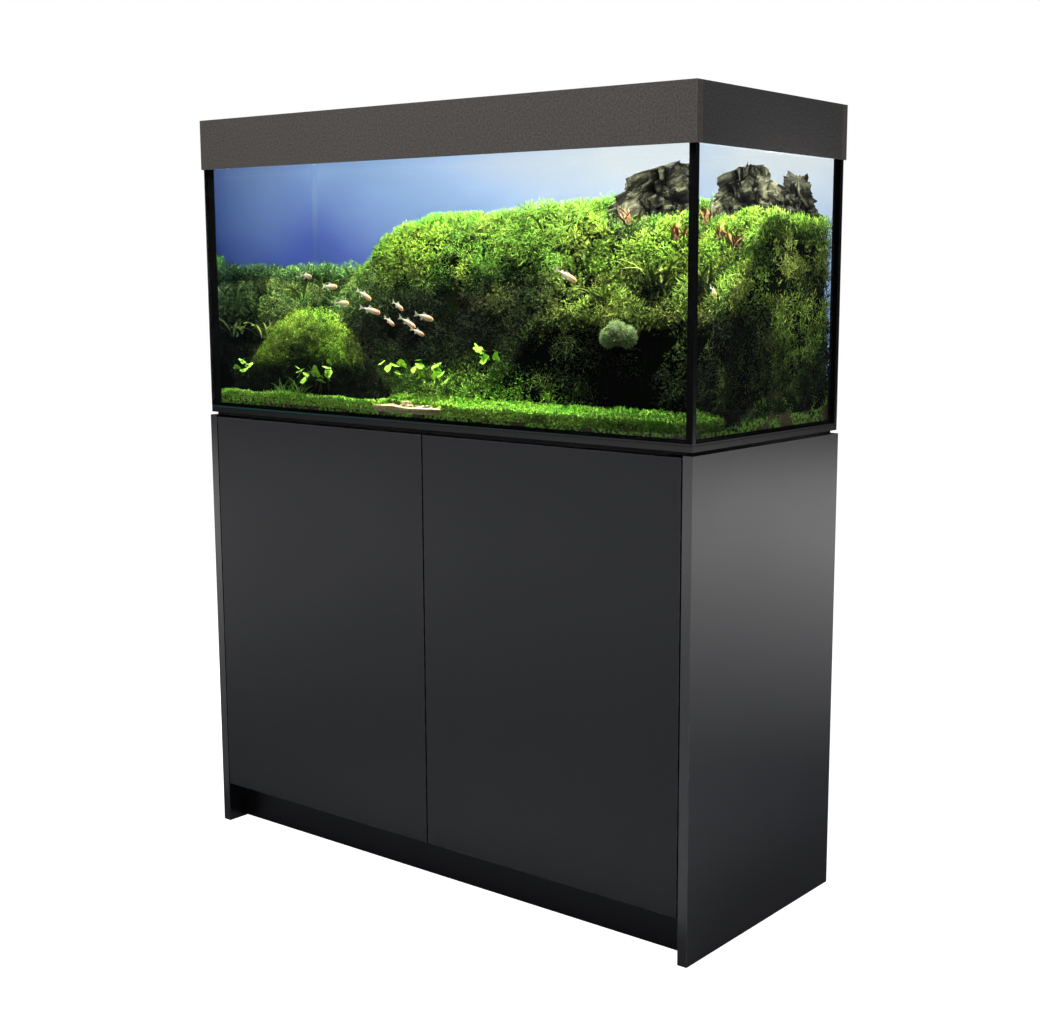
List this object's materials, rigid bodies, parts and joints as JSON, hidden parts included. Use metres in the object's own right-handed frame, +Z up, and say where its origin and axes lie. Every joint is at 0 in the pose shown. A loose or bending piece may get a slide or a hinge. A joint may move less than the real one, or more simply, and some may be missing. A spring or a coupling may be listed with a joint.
{
  "type": "aquarium on stand",
  "caption": "Glass tank with a planted layout under a lift-off hood with hinged flaps, on a black cabinet with inset doors.",
  "frame": {"origin": "on the floor, under the middle of the cabinet footprint", "axes": "+Z up, front with the doors faces -Y, +X to the right as seen from the front"},
  "size_m": [1.006, 0.406, 1.2301],
  "materials": {
    "cabinet_black": "fine satin black foil on particleboard",
    "back_sheet_board": "thin hardboard, brown",
    "zinc_fittings": "zinc plated",
    "latch_grey": "grey moulded body",
    "latch_white": "white plunger",
    "foam_black": "closed-cell foam mat",
    "float_glass": "clear float glass, ground edges",
    "silicone_black": "black silicone, smooth",
    "film_blue": "blue to white background film",
    "soil_brown": "granular plant soil",
    "rock_grey": "rough weathered rock",
    "stone_tan": "smooth pale stones",
    "carpet_green": "short bright carpet plants",
    "moss_dark": "dense dark moss",
    "slope_green": "mixed slope plants",
    "ridge_green": "light green stem plants",
    "gear_black": "black moulded case",
    "sponge_blue": "open foam",
    "impeller_white": "white moulded impeller",
    "cup_grey": "soft suction cups",
    "heater_glass": "sealed tube with a dark core",
    "dial_red": "red dial",
    "hood_charcoal": "charcoal textured foil on board",
    "pine_battens": "bare pine",
    "light_aluminium": "anodised extrusion",
    "led_white": "white board",
    "lens_frosted": "frosted cover"
  },
  "bodies": {
    "stand_and_tank": {"side_panel_left": "cabinet_black", "side_panel_right": "cabinet_black", "top_panel": "cabinet_black", "bottom_panel": "cabinet_black", "center_partition": "cabinet_black", "plinth_front": "cabinet_black", "plinth_rear": "cabinet_black", "rear_stretchers": "cabinet_black", "back_sheet": "back_sheet_board", "shelf": "cabinet_black", "shelf_pins": "zinc_fittings", "cam_fittings": "zinc_fittings", "hinge_arms": "zinc_fittings", "hinge_plates": "zinc_fittings", "latch_bodies": "latch_grey", "base_mat": "foam_black", "glass_bottom": "float_glass", "glass_front": "float_glass", "glass_back": "float_glass", "glass_left": "float_glass", "glass_right": "float_glass", "silicone_seams": "silicone_black", "glass_braces": "float_glass", "background_film": "film_blue", "substrate": "soil_brown", "rock_peaks": "rock_grey", "foreground_stones": "stone_tan", "carpet_planting": "carpet_green", "moss_mound": "moss_dark", "slope_planting": "slope_green", "ridge_planting": "ridge_green", "filter_case": "gear_black", "filter_sponge": "sponge_blue", "pump_head": "gear_black", "suction_cups": "cup_grey", "heater": "heater_glass"},
    "door_left": {"door_left": "cabinet_black", "hinge_cups_left": "zinc_fittings", "strike_plate_left": "zinc_fittings"},
    "door_right": {"door_right": "cabinet_black", "hinge_cups_right": "zinc_fittings", "strike_plate_right": "zinc_fittings"},
    "plunger_left": {"latch_plunger_left": "latch_white"},
    "plunger_right": {"latch_plunger_right": "latch_white"},
    "impeller": {"impeller": "impeller_white"},
    "nozzle": {"outlet_nozzle": "gear_black"},
    "dial": {"heater_dial": "dial_red"},
    "hood": {"hood_front": "hood_charcoal", "hood_back": "hood_charcoal", "hood_sides": "hood_charcoal", "hood_battens": "pine_battens", "hood_deck": "hood_charcoal", "flap_hinges_fixed": "zinc_fittings", "light_housing": "light_aluminium", "led_board": "led_white", "light_lens": "lens_frosted"},
    "flap_left": {"flap_left": "hood_charcoal", "flap_hinge_left": "zinc_fittings"},
    "flap_right": {"flap_right": "hood_charcoal", "flap_hinge_right": "zinc_fittings"}
  },
  "joints": [
    {"name": "left_door_hinge", "type": "hinge", "parent": "stand_and_tank", "child": "door_left", "pos_m": [-0.468, -0.1935, 0.4], "axis": [0, 0, -1], "range_deg": [0, 95]},
    {"name": "right_door_hinge", "type": "hinge", "parent": "stand_and_tank", "child": "door_right", "pos_m": [0.468, -0.1935, 0.4], "axis": [0, 0, 1], "range_deg": [0, 95]},
    {"name": "left_latch_plunger", "type": "slide", "parent": "stand_and_tank", "child": "plunger_left", "axis": [0, 1, 0], "range_m": [0, 0.003], "stiffness_N_per_m": 150, "springref_m": -0.004},
    {"name": "right_latch_plunger", "type": "slide", "parent": "stand_and_tank", "child": "plunger_right", "axis": [0, 1, 0], "range_m": [0, 0.003], "stiffness_N_per_m": 150, "springref_m": -0.004},
    {"name": "impeller_spin", "type": "hinge", "parent": "stand_and_tank", "child": "impeller", "pos_m": [0.31983, 0.155, 1.06], "axis": [0, 0, 1], "continuous": true},
    {"name": "nozzle_swivel", "type": "hinge", "parent": "stand_and_tank", "child": "nozzle", "pos_m": [0.31983, 0.155, 1.09], "axis": [0, 0, 1], "range_deg": [-60, 60]},
    {"name": "heater_dial_turn", "type": "hinge", "parent": "stand_and_tank", "child": "dial", "pos_m": [0.24488, 0.169, 1.105], "axis": [0, 0, 1], "range_deg": [-135, 135]},
    {"name": "hood_lift", "type": "slide", "parent": "stand_and_tank", "child": "hood", "axis": [0, 0, 1], "range_m": [0, 0.12]},
    {"name": "left_flap_hinge", "type": "hinge", "parent": "hood", "child": "flap_left", "pos_m": [-0.245, 0.04025, 1.2277], "axis": [-1, 0, 0], "range_deg": [0, 100]},
    {"name": "right_flap_hinge", "type": "hinge", "parent": "hood", "child": "flap_right", "pos_m": [0.245, 0.04025, 1.2277], "axis": [-1, 0, 0], "range_deg": [0, 100]}
  ]
}
